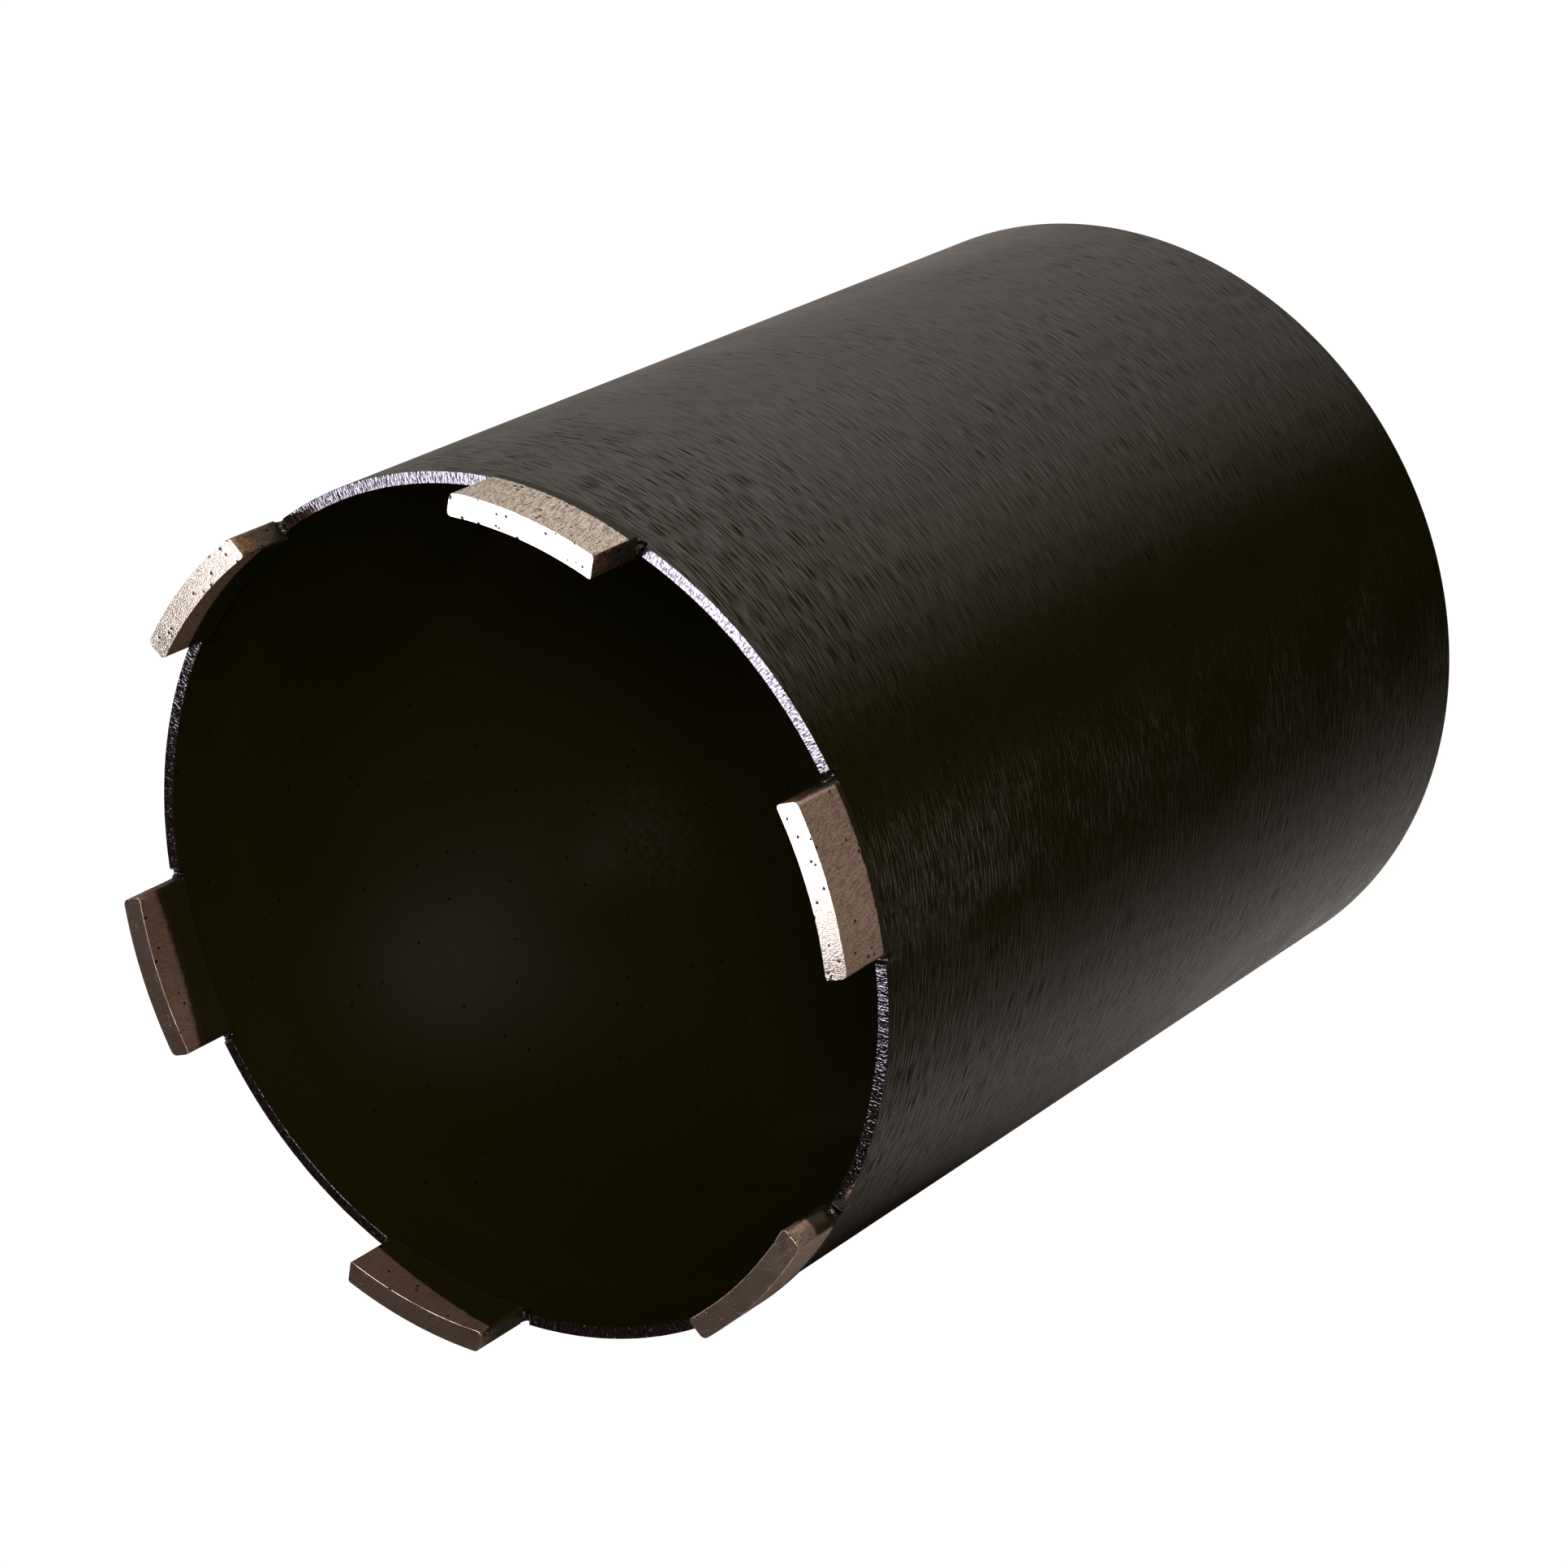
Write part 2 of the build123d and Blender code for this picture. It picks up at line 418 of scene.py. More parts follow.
def scaled_weld_steel():
    """Melted steel under black scale: dull and rough, with small spots that glint."""
    made, tree, place = new_material("scaled_weld_steel")
    scale = put(tree, "Mapping", {"Vector": place, "Scale": (drop_grain,) * 3}, vector_type="TEXTURE")
    scale = put(tree, "TexNoise", {"Vector": scale, "Scale": 1.0, "Detail": 3.0})
    share = put(tree, "MapRange", {"Value": scale, "From Min": 0.5, "From Max": 0.7})
    colour = put(tree, "Mix", {0: share, 6: linear(drop_black), 7: linear(drop_grey)}, data_type="RGBA")
    metal = put(tree, "MapRange", {"Value": scale, "From Min": 0.45, "From Max": 0.6})
    rough = {"Value": scale, "From Min": 0.3, "From Max": 0.7, "To Min": 0.5, "To Max": 0.2}
    rough = put(tree, "MapRange", rough)
    relief = put(tree, "Math", {0: scale, 1: drop_relief * MM}, operation="MULTIPLY")
    bump = put(tree, "Bump", {"Strength": 1.0, "Distance": 1.0, "Height": relief})
    look = {"Base Color": colour, "Metallic": metal, "Roughness": rough, "Normal": bump}
    put(tree, "OutputMaterial", {"Surface": put(tree, "BsdfPrincipled", look)})
    return made


def weld_drops():
    """Lumpy drops in the corner at each end of each segment, as one mesh."""
    draw = random.Random(12)
    bm = bmesh.new()
    for number, end in segment_ends:
        heavy = (number, end) in heavy_ends
        for k in range(drops_an_end + spatters_an_end):
            if k >= drops_an_end:
                size, beyond = draw.uniform(*spatter_size), draw.uniform(0.0, spatter_reach)
                height = rim_height + draw.uniform(-0.1, 0.0)
            else:
                size = draw.uniform(*drop_size) * (heavy_growth if heavy else 1.0)
                beyond = draw.uniform(-0.05, 0.45)
                height = rim_height + draw.uniform(-0.45, 0.35 if heavy else 0.05)
            turn, radius = end_turn(number, end, beyond), draw.uniform(*drop_radii)
            centre = Vector((radius * math.cos(turn), radius * math.sin(turn), height))
            stretch = Vector([draw.uniform(low, 1.2) for low in (0.8, 0.8, 0.7)])
            made = bmesh.ops.create_icosphere(bm, subdivisions=3, radius=size)
            for vert in made["verts"]:
                lump = 1 + drop_lumps * noise.noise(vert.co / size * 1.3 + centre)
                vert.co = (centre + vert.co * stretch * lump) * MM
    mesh = bpy.data.meshes.new("weld_drops")
    bm.to_mesh(mesh)
    bm.free()
    return mesh


add_piece("weld_drops", weld_drops(), scaled_weld_steel())

# The segments are hot-pressed from bronze and cobalt powder with diamond grit, and ground on top.
# Their sides keep a fine ribbed grain, and small pits mark where grit fell out. The spray caught their
# feet and their inner faces, and the weld's heat browned their ends.
segment_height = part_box("segment_1")[1].z / MM - rim_height
segment_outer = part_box("segment_1")[1].x / MM
inside_proud = 1.05
segment_inner = mouth_radius - inside_proud
edge_bevel = 0.05
mesh_step = 0.17
# The corners in plan, in mm: at the end that the turn reaches first, and at the other.
corner_radii = {
    1: (0.3, 0.85), 2: (0.5, 0.95), 3: (0.8, 0.8), 4: (0.35, 0.8), 5: (0.8, 0.8), 6: (0.7, 0.7),
}
# How much lower a top lies, in mm: at the end that the turn reaches first, at the other end and at its
# outer edge. It decides which of the tops mirror the soft box.
top_drops = {2: (0.28, 0, 0), 3: (0, 0.10, 0.07), 5: (0, 0.35, 0), 6: (0, 0.15, 0.09)}
unevenness = 0.03
# The outer edge of one segment is a little chipped.
chip_depth, chip_size = {1: 0.05}, 0.9
pits_on_top, pits_on_side, pits_on_end = 13, 11, 6
pit_radius, pit_depth = (0.18, 0.27), 0.015
matrix_light, matrix_dark = "#f3eae0", "#85776a"
ground_light, ground_dark = "#e2d5cf", "#a3968e"
oxide_brown, pit_brown = "#d4aa92", "#1c110b"
# How far the brown oxide covers the inner faces, and the outer faces of the segments that have it.
oxide_inside, oxide_outside = 0.6, {5: 0.4, 6: 0.4}
rib_size, rib_lean = (0.36, 0.42, 1.8), 0.24
grain_size, grain_share, ground_grain = 0.18, 0.7, 0.15
cast_spread, ground_spread = (0.40, 0.56), (0.35, 0.6)
cloud_size, cloud_roughness = 4.0, 0.03
ground_roughness, pressed_roughness, pit_roughness = 0.115, 0.50, 0.7
side_relief, top_relief = 0.05, 0.0075
bare_shine = 0.5
scorch_straw, scorch_brown, scorch_black, heat_streaks = "#a58752", "#684426", "#15100e", 2.2
thin_coat, coat_roughness, dry_coat_shine = "#383631", 0.45, 0.25
# How strongly the weld's heat coloured an end, where it is weaker than on the others.
end_heat = {(5, 1): 0.25, (6, -1): 0.5}

# Height above the rim, in mm, that the spray reached on each segment's inner face: at the end that the
# turn reaches first, in the middle and at the other end. The last value is how soft its edge is.
spray_inside = {
    1: (6.5, 5.5, 6.5, 0.5),
    2: (5.6, 5.1, 5.0, 0.35),
    3: (6.2, 5.0, 7.1, 0.9),
    4: (3.7, 5.2, 7.6, 0.12),
    5: (6.0, 5.0, 6.0, 0.5),
    6: (6.5, 5.5, 6.0, 0.5),
}
# The same at the two ends of the outer faces, and on the end faces.
spray_outside = {1: (1.8, 1.2), 5: (1.2, 1.2), 6: (1.0, 1.0)}
spray_ends = {(1, -1): 1.6, (2, -1): 1.8, (4, 1): 5.5, (5, 1): 4.5, (6, -1): 6.0}
spray_outside_plain, spray_ends_plain = (1.4, 1.4), 2.6


def smooth_step(value, low, high):
    """From 0 at low to 1 at high, eased at both."""
    t = np.clip((value - low) / (high - low), 0, 1)
    return t * t * (3 - 2 * t)


def field(points, size, seed):
    """Noise from -1 to 1 at each point, with grains of about size millimetres."""
    shift = Vector((seed * 17.3, seed * 5.1, seed * 9.7))
    return np.array([noise.noise(Vector(p) / size + shift) for p in points])


def plan_rows(number, inset):
    """Lines across the segment's plan, shrunk by inset: for each, its place along and its two ends."""
    half = segment_length / 2 - inset
    first, last = (c - inset for c in corner_radii[number])
    low, high = first - half, half - last
    bends = [math.sin(math.radians(18 * k)) for k in range(1, 6)]
    steps = round((segment_length - 1.6) / mesh_step)
    along = [low - first * b for b in reversed(bends)]
    along += [low + (high - low) * k / steps for k in range(steps + 1)]
    along += [high + last * b for b in bends]
    rows = []
    for y in along:
        corner = first if y < 0 else last
        past = max(0.0, low - y, y - high)
        tuck = corner - math.sqrt(max(0.0, corner ** 2 - past ** 2))
        outer = math.sqrt((segment_outer - inset) ** 2 - y * y) - tuck
        inner = math.sqrt((segment_inner + inset) ** 2 - y * y) + tuck
        rows.append((y, inner, outer))
    return rows


def segment_block(number):
    """The points and faces of a segment: a ground top, bevelled edges and sides down to the rim."""
    across = round((segment_outer - segment_inner) / mesh_step)
    points = []
    for y, i, o in plan_rows(number, edge_bevel):
        points += [(i + (o - i) * k / across, y, segment_height) for k in range(across + 1)]
    count = len(points) // (across + 1)
    faces = []
    for j in range(count - 1):
        for k in range(across):
            a = j * (across + 1) + k
            faces.append((a, a + 1, a + across + 2, a + across + 1))
    loop = [(0, k) for k in range(across)] + [(j, across) for j in range(count - 1)]
    loop += [(count - 1, k) for k in range(across, 0, -1)] + [(j, 0) for j in range(count - 1, 0, -1)]
    ring = [j * (across + 1) + k for j, k in loop]
    bend = edge_bevel * (1 - math.sqrt(0.5))
    steps = round((segment_height - edge_bevel) / mesh_step)
    levels = [(bend, segment_height - bend)]
    levels += [(0.0, (segment_height - edge_bevel) * (1 - k / steps)) for k in range(steps + 1)]
    for inset, height in levels:
        rows = plan_rows(number, inset)
        start = len(points)
        for j, k in loop:
            y, i, o = rows[j]
            points.append((i + (o - i) * k / across, y, height))
        next_ring = list(range(start, start + len(loop)))
        for m in range(len(ring)):
            n = (m + 1) % len(ring)
            faces.append((ring[m], ring[n], next_ring[n], next_ring[m]))
        ring = next_ring
    faces.append(tuple(ring))
    return np.array(points), faces


def segment_mesh(number):
    """A segment with its unevenness, chips and pits sunk from its solid's faces, and the marks on it."""
    local, faces = segment_block(number)
    turn = 2 * math.pi * (number - 1) / segment_count
    c, s = math.cos(turn), math.sin(turn)
    spin = np.array([[c, s, 0], [-s, c, 0], [0, 0, 1]])
    mesh = build_mesh(f"segment_block_{number}", local @ spin + [0, 0, rim_height], faces)
    facing = np.empty(len(local) * 3, np.float32)
    mesh.vertices.foreach_get("normal", facing)
    facing = facing.reshape(-1, 3) @ spin.T
    side, height = local[:, 1], local[:, 2]
    radius = np.hypot(local[:, 0], side)
    share = side / segment_length + 0.5

    to_faces = [segment_outer - radius, radius - segment_inner, segment_height - height]
    to_faces = np.sort(np.abs(to_faces + [segment_length / 2 - np.abs(side)]), axis=0)
    at_edge = 1 - smooth_step(to_faces[1], 0.0, 0.45)
    sink = unevenness * (0.5 + 0.5 * field(local, 3.0, number))
    sink *= 1 - 0.7 * smooth_step(facing[:, 2], 0.7, 0.9)
    at_edge *= smooth_step(radius, 61.0, 62.5)
    chips = smooth_step(field(local, chip_size, number + 20), 0.3, 0.6)
    sink += chip_depth.get(number, 0.0) * at_edge * chips
    draw = random.Random(number)
    pit = np.zeros(len(local))
    on_top, on_end = facing[:, 2] > 0.95, np.abs(facing[:, 1]) > 0.9
    on_inside, on_outside = facing[:, 0] < -0.9, facing[:, 0] > 0.9
    counts = [(on_top, pits_on_top), (on_inside, pits_on_side), (on_outside, pits_on_side)]
    for part, count in counts + [(on_end, 2 * pits_on_end)]:
        for spot in draw.sample(list(local[part]), count):
            near = np.linalg.norm(local - spot, axis=1) / draw.uniform(*pit_radius)
            pit = np.maximum(pit, np.clip(1 - near ** 2, 0, 1))
    sink = (sink + pit_depth * pit) * smooth_step(height, 0.05, 0.6)
    shaped = local - facing * sink[:, None]
    first, last, outer = top_drops.get(number, (0, 0, 0))
    drop = first * (1 - share) + last * share
    drop += outer * (radius - segment_inner) / (segment_outer - segment_inner)
    shaped[:, 2] -= drop * smooth_step(height, 5.0, segment_height)
    mesh.vertices.foreach_set("co", ((shaped @ spin + [0, 0, rim_height]) * MM).ravel())

    inside = smooth_step(-facing[:, 0], 0.5, 0.8)
    outside = smooth_step(facing[:, 0], 0.5, 0.8)
    at_end = smooth_step(np.abs(facing[:, 1]), 0.6, 0.8)
    first, centre, last, soft = spray_inside[number]
    line = first * (1 - share) * (1 - 2 * share) + last * share * (2 * share - 1)
    line += centre * 4 * share * (1 - share)
    line += 0.15 * field(local, 1.2, number + 40) - 0.2 * soft * field(local, 0.5, number + 50)
    spray = inside * (1 - smooth_step(height, line - soft, line + soft))
    low, high = spray_outside.get(number, spray_outside_plain)
    line = low + (high - low) * share + 0.18 * field(local * [1, 1, 0], 0.7, number + 60)
    spray = np.maximum(spray, outside * (1 - smooth_step(height, line - 0.1, line + 0.05)))
    reached = [spray_ends.get((number, end), spray_ends_plain) for end in (-1, 1)]
    line = np.where(side < 0, *reached) + 0.5 * field(local, 1.5, number + 80)
    spray = np.maximum(spray, at_end * (1 - smooth_step(height, line - 0.6, line + 0.6)))
    burn = height + 0.8 * field(local, 1.5, number + 90)
    heat = np.where(side < 0, *[end_heat.get((number, end), 1.0) for end in (-1, 1)])
    scorch = heat * at_end * (1 - smooth_step(burn, 2.0, 13.0))
    oxide = oxide_inside * inside + oxide_outside.get(number, 0.0) * outside
    ground = smooth_step(facing[:, 2], 0.7, 0.95)
    set_marks(mesh, spray=spray, scorch=scorch, pit=pit, oxide=oxide, ground=ground)
    place = mesh.attributes.new("block_place", "FLOAT_VECTOR", "POINT")
    place.data.foreach_set("vector", np.stack([side, radius, height], axis=1).astype(np.float32).ravel())
    return mesh


def ground_sintered_bronze():
    """A warm grey sintered metal: bright on its ground top, ribbed and pitted down its sides."""
    made, tree, _ = new_material("ground_sintered_bronze")
    names = ("spray", "scorch", "pit", "ground", "oxide")
    marks = [put(tree, "Attribute", attribute_name=name).outputs["Fac"] for name in names]
    spray, scorch, pit, ground, oxide = marks
    place = put(tree, "Attribute", attribute_name="block_place").outputs["Vector"]
    axes = put(tree, "SeparateXYZ", {0: place}).outputs

    lean = put(tree, "Math", {0: axes["Z"], 1: rib_lean, 2: axes["X"]}, operation="MULTIPLY_ADD")
    ribs = put(tree, "CombineXYZ", {"X": lean, "Y": axes["Y"], "Z": axes["Z"]})
    ribs = put(tree, "Mapping", {"Vector": ribs, "Scale": rib_size}, vector_type="TEXTURE")
    ribs = put(tree, "TexNoise", {"Vector": ribs, "Scale": 1.0, "Detail": 1.0})
    textures = []
    for size, detail in ((grain_size, 2.0), (ground_grain, 1.0), (cloud_size, 3.0)):
        scaled = put(tree, "Mapping", {"Vector": place, "Scale": (size,) * 3}, vector_type="TEXTURE")
        textures.append(put(tree, "TexNoise", {"Vector": scaled, "Scale": 1.0, "Detail": detail}))
    grain, fine, cloud = textures
    cast = put(tree, "Mix", {0: grain_share, 2: ribs, 3: grain})

    low, high = cast_spread
    share = put(tree, "MapRange", {"Value": cast, "From Min": low, "From Max": high})
    metal = {0: share, 6: linear(matrix_dark), 7: linear(matrix_light)}
    metal = put(tree, "Mix", metal, data_type="RGBA")
    low, high = ground_spread
    share = put(tree, "MapRange", {"Value": grain, "From Min": low, "From Max": high})
    top = put(tree, "Mix", {0: share, 6: linear(ground_dark), 7: linear(ground_light)}, data_type="RGBA")
    metal = put(tree, "Mix", {0: oxide, 6: metal, 7: linear(oxide_brown)}, data_type="RGBA")
    metal = put(tree, "Mix", {0: ground, 6: metal, 7: top}, data_type="RGBA")

    # The weld's heat coloured the ends: straw above, brown below it and black at the foot.
    streaks = put(tree, "Math", {0: ribs, 1: heat_streaks, 2: scorch}, operation="MULTIPLY_ADD")
    share = put(tree, "MapRange", {"Value": streaks, "From Min": 1.1, "From Max": 1.6})
    hot = {0: share, 6: linear(scorch_straw), 7: linear(scorch_brown)}
    hot = put(tree, "Mix", hot, data_type="RGBA")
    share = put(tree, "MapRange", {"Value": streaks, "From Min": 1.55, "From Max": 2.1})
    hot = put(tree, "Mix", {0: share, 6: hot, 7: linear(scorch_black)}, data_type="RGBA")
    share = put(tree, "MapRange", {"Value": scorch, "From Max": 0.3, "To Max": 0.9})
    metal = put(tree, "Mix", {0: share, 6: metal, 7: hot}, data_type="RGBA")
    share = put(tree, "MapRange", {"Value": pit, "From Min": 0.05, "From Max": 0.3, "To Max": 0.97})
    metal = put(tree, "Mix", {0: share, 6: metal, 7: linear(pit_brown)}, data_type="RGBA")
    # The coat darkens the metal first, and hides it altogether where it is thick.
    thin = put(tree, "MapRange", {"Value": spray, "From Max": 0.8})
    thick = put(tree, "MapRange", {"Value": spray, "From Min": 0.8})
    colour = put(tree, "Mix", {0: thin, 6: metal, 7: linear(thin_coat)}, data_type="RGBA")
    colour = put(tree, "Mix", {0: thick, 6: colour, 7: linear(lacquer_inside_painted_lift)}, data_type="RGBA")

    rough = put(tree, "Mix", {0: ground, 2: pressed_roughness, 3: ground_roughness})
    mottle = {"Value": cloud, "To Min": -cloud_roughness, "To Max": cloud_roughness}
    rough = put(tree, "Math", {0: rough, 1: put(tree, "MapRange", mottle)}, operation="ADD")
    rough = put(tree, "Mix", {0: thick, 2: rough, 3: coat_roughness})
    rough = put(tree, "Mix", {0: pit, 2: rough, 3: pit_roughness})
    cast = put(tree, "Math", {0: cast, 1: side_relief * MM}, operation="MULTIPLY")
    fine = put(tree, "Math", {0: fine, 1: top_relief * MM}, operation="MULTIPLY")
    relief = put(tree, "Mix", {0: ground, 2: cast, 3: fine})
    bump = put(tree, "Bump", {"Strength": 1.0, "Distance": 1.0, "Height": relief})
    bared = put(tree, "Math", {0: 1.0, 1: thick}, operation="SUBTRACT")
    shine = put(tree, "Mix", {0: thick, 2: bare_shine, 3: dry_coat_shine})
    look = {"Base Color": colour, "Metallic": bared, "Roughness": rough, "Normal": bump}
    look["Specular IOR Level"] = shine
    put(tree, "OutputMaterial", {"Surface": put(tree, "BsdfPrincipled", look)})
    return made


bronze = ground_sintered_bronze()
for number in range(1, segment_count + 1):
    block = add_piece(f"segment_block_{number}", segment_mesh(number), bronze)
    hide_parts(f"segment_{number}")

# The back plate is a steel disc under a matt pale phosphate coat, pressed into the tube. Inside, painted
# shade darkens it all over but for a pale patch towards one side, which is a painted pool of light, and
# its back was lacquered with the tube. Its coats are a guess: the photograph shows no more of it than a
# glow that the lacquer mirrors.
phosphate_light, phosphate_dark, painted_shade_black = "#c6b0bb", "#a08c98", "#1f1b18"
phosphate_blotch, phosphate_grain, phosphate_depth = 9.0, 0.8, 0.03
phosphate_roughness, plate_back_roughness = 0.75, 0.36
# Where the plate shows a painted pool of light, and how far from it the painted shade sets in and is
# full.
lit_pool_turn, lit_pool_radius, lit_pool_reach = math.radians(-30), 42.0, (12.0, 46.0)
shade_edge_drift, painted_shade_strength = 14.0, 0.9
# Where the lacquer on its back gives way to the coat inside, above the plate's back face.
back_coat_edge = (3, 6)


def phosphated_steel():
    """Matt grey crystals, painted shade round a painted pool of light inside, satin black lacquer on
    back.
    """
    made, tree, place = new_material("phosphated_steel")
    height = put(tree, "SeparateXYZ", {0: place}).outputs["Z"]
    textures = []
    for size, detail in ((phosphate_blotch, 4.0), (phosphate_grain, 2.0)):
        scaled = put(tree, "Mapping", {"Vector": place, "Scale": (size,) * 3}, vector_type="TEXTURE")
        textures.append(put(tree, "TexNoise", {"Vector": scaled, "Scale": 1.0, "Detail": detail}))
    blotch, grain = textures
    # A painted pool of light: the plate keeps its pale coat round this point, and painted shade darkens
    # it further off.
    middle = (lit_pool_radius * math.cos(lit_pool_turn), lit_pool_radius * math.sin(lit_pool_turn), plate_top)
    away = put(tree, "VectorMath", {0: place, 1: middle}, operation="DISTANCE")
    painted_shade = put(tree, "Math", {0: blotch, 1: shade_edge_drift, 2: away}, operation="MULTIPLY_ADD")
    low, high = (reach + shade_edge_drift / 2 for reach in lit_pool_reach)
    painted_shade = {"Value": painted_shade, "From Min": low, "From Max": high, "To Max": painted_shade_strength}
    painted_shade = put(tree, "MapRange", painted_shade)
    low, high = (back_height + edge for edge in back_coat_edge)
    inside = put(tree, "MapRange", {"Value": height, "From Min": low, "From Max": high})
    coat = {0: grain, 6: linear(phosphate_dark), 7: linear(phosphate_light)}
    coat = put(tree, "Mix", coat, data_type="RGBA")
    coat = put(tree, "Mix", {0: painted_shade, 6: coat, 7: linear(painted_shade_black)}, data_type="RGBA")
    colour = put(tree, "Mix", {0: inside, 6: linear(lacquer_outside), 7: coat}, data_type="RGBA")
    rough = {0: inside, 2: plate_back_roughness, 3: phosphate_roughness}
    rough = put(tree, "Mix", rough)
    relief = put(tree, "Math", {0: grain, 1: phosphate_depth * MM}, operation="MULTIPLY")
    bump = put(tree, "Bump", {"Strength": 1.0, "Distance": 1.0, "Height": relief})
    look = {"Base Color": colour, "Roughness": rough, "IOR": lacquer_index, "Normal": bump}
    put(tree, "OutputMaterial", {"Surface": put(tree, "BsdfPrincipled", look)})
    return made


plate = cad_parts["back_plate"]
plate.data.materials.clear()
plate.data.materials.append(phosphated_steel())

# The hub is turned from steel bar and left bare, bright where the tools cut its end face and its flats.
# Its G 1/2 thread has 14 turns to the inch.
hub_steel_light, hub_steel_dark = "#a09d99", "#7c7975"
hub_roughness, hub_stain_roughness = 0.30, 0.12
hub_ring_width, hub_ring_depth, hub_stain_size = 0.12, 0.01, 5.0
hub_radius, hub_weld_leg = 18.0, 4.0
thread_pitch = 25.4 / 14
thread_major, thread_minor = 20.955 / 2, 18.631 / 2
thread_from, thread_to = 1.2, 19.6
thread_steps = 48
thread_sink = 0.02


def turned_mild_steel():
    """Bare mild steel with the fine rings of a lathe tool and a faint stain."""
    made, tree, place = new_material("turned_mild_steel")
    textures = []
    for width in (hub_ring_width, hub_stain_size):
        scaled = {"Vector": place, "Scale": (hub_stain_size, hub_stain_size, width)}
        scaled = put(tree, "Mapping", scaled, vector_type="TEXTURE")
        textures.append(put(tree, "TexNoise", {"Vector": scaled, "Scale": 1.0, "Detail": 3.0}))
    rings, stain = textures
    colour = {0: stain, 6: linear(hub_steel_dark), 7: linear(hub_steel_light)}
    colour = put(tree, "Mix", colour, data_type="RGBA")
    low, high = hub_roughness, hub_roughness + hub_stain_roughness
    rough = put(tree, "MapRange", {"Value": stain, "To Min": low, "To Max": high})
    relief = put(tree, "Math", {0: rings, 1: hub_ring_depth * MM}, operation="MULTIPLY")
    bump = put(tree, "Bump", {"Strength": 0.6, "Distance": 1.0, "Height": relief})
    look = {"Base Color": colour, "Metallic": 1.0, "Roughness": rough, "Normal": bump}
    put(tree, "OutputMaterial", {"Surface": put(tree, "BsdfPrincipled", look)})
    return made


def thread_ridge():
    """The thread's ridge: a four-sided section carried up a helix inside the bore."""
    root, crest = thread_pitch * 0.42, thread_pitch * 0.09
    outer = thread_major + thread_sink
    section = [(outer, -root), (thread_minor, -crest), (thread_minor, crest), (outer, root)]
    steps = round((thread_to - thread_from - 2 * root) / thread_pitch * thread_steps)
    points, faces = [], []
    for i in range(steps + 1):
        turn = 2 * math.pi * i / thread_steps
        level = thread_from + root + thread_pitch * i / thread_steps
        points += [(r * math.cos(turn), r * math.sin(turn), level + h) for r, h in section]
    for i in range(steps):
        for j in range(4):
            a, b = 4 * i + j, 4 * i + (j + 1) % 4
            faces.append((a, b, b + 4, a + 4))
    faces += [(3, 2, 1, 0), tuple(4 * steps + j for j in range(4))]
    return build_mesh("hub_thread", points, faces)


bar = turned_mild_steel()
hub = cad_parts["hub"]
hub.data.materials.clear()
hub.data.materials.append(bar)
add_piece("hub_thread", thread_ridge(), bar)

# Two weld beads close the back: a fillet round the hub's foot, and a low run round the plate's edge. A
# torch laid them in overlapping scales, once round, and they were lacquered with the plate.
bead_scale_length, bead_scale_height, bead_wobble = 1.6, 0.22, 0.12
bead_grain, bead_grain_depth = 0.5, 0.03
bead_rows, bead_steps = 12, 480
hub_bead_crown, plate_bead_crown, plate_bead_width = 0.5, 0.55, 2.4


def lacquered_weld():
    """The barrel's black lacquer over rough weld scale, a little duller and grainier."""
    made, tree, place = new_material("lacquered_weld")
    grain = put(tree, "Mapping", {"Vector": place, "Scale": (bead_grain,) * 3}, vector_type="TEXTURE")
    grain = put(tree, "TexNoise", {"Vector": grain, "Scale": 1.0, "Detail": 3.0})
    colour = {0: grain, 6: linear(soot_black), 7: linear(lacquer_inside_painted_lift)}
    colour = put(tree, "Mix", colour, data_type="RGBA")
    rough = put(tree, "MapRange", {"Value": grain, "To Min": 0.3, "To Max": 0.5})
    relief = put(tree, "Math", {0: grain, 1: bead_grain_depth * MM}, operation="MULTIPLY")
    bump = put(tree, "Bump", {"Strength": 1.0, "Distance": 1.0, "Height": relief})
    look = {"Base Color": colour, "Roughness": rough, "IOR": lacquer_index, "Normal": bump}
    put(tree, "OutputMaterial", {"Surface": put(tree, "BsdfPrincipled", look)})
    return made


def weld_bead(name, section):
    """A closed ring of weld metal. section(t) gives radius, height and the way that its scales lift."""
    scales = round(2 * math.pi * section(0.5)[0] / bead_scale_length)
    points, faces = [], []
    for i in range(bead_steps):
        turn = 2 * math.pi * i / bead_steps
        for j in range(bead_rows):
            t = j / (bead_rows - 1)
            radius, level, lift_r, lift_z = section(t)
            phase = (turn * scales / (2 * math.pi) + 0.6 * math.sin(math.pi * t)) % 1
            wobble = noise.noise(Vector((math.cos(turn) * 6, math.sin(turn) * 6, t)))
            lift = bead_scale_height * (phase ** 0.6 - 0.5) + bead_wobble * wobble
            lift *= math.sin(math.pi * t)
            radius += lift_r * lift
            points.append((radius * math.cos(turn), radius * math.sin(turn), level + lift_z * lift))
    for i in range(bead_steps):
        a, b = i * bead_rows, (i + 1) % bead_steps * bead_rows
        for j in range(bead_rows):
            n = (j + 1) % bead_rows
            faces.append((a + j, a + n, b + n, b + j))
    return build_mesh(name, points, faces)


def hub_bead_section(t):
    """From the hub's wall out and up to the plate, a little crowned past the straight fillet."""
    crown = hub_bead_crown * math.sin(math.pi * t)
    radius = hub_radius - 0.3 + (hub_weld_leg + 0.4) * t + 0.7 * crown
    level = back_height - hub_weld_leg - 0.2 + (hub_weld_leg + 0.1) * t - 0.7 * crown
    return radius, level, 0.7, -0.7


def plate_bead_section(t):
    """A low crown across the joint between the plate and the tube."""
    level = back_height + 0.1 - plate_bead_crown * math.sin(math.pi * t)
    return bore_radius - 1.5 + plate_bead_width * t, level, 0.0, -1.0


weld_black = lacquered_weld()
add_piece("hub_weld_bead", weld_bead("hub_weld_bead", hub_bead_section), weld_black)
add_piece("plate_weld_bead", weld_bead("plate_weld_bead", plate_bead_section), weld_black)

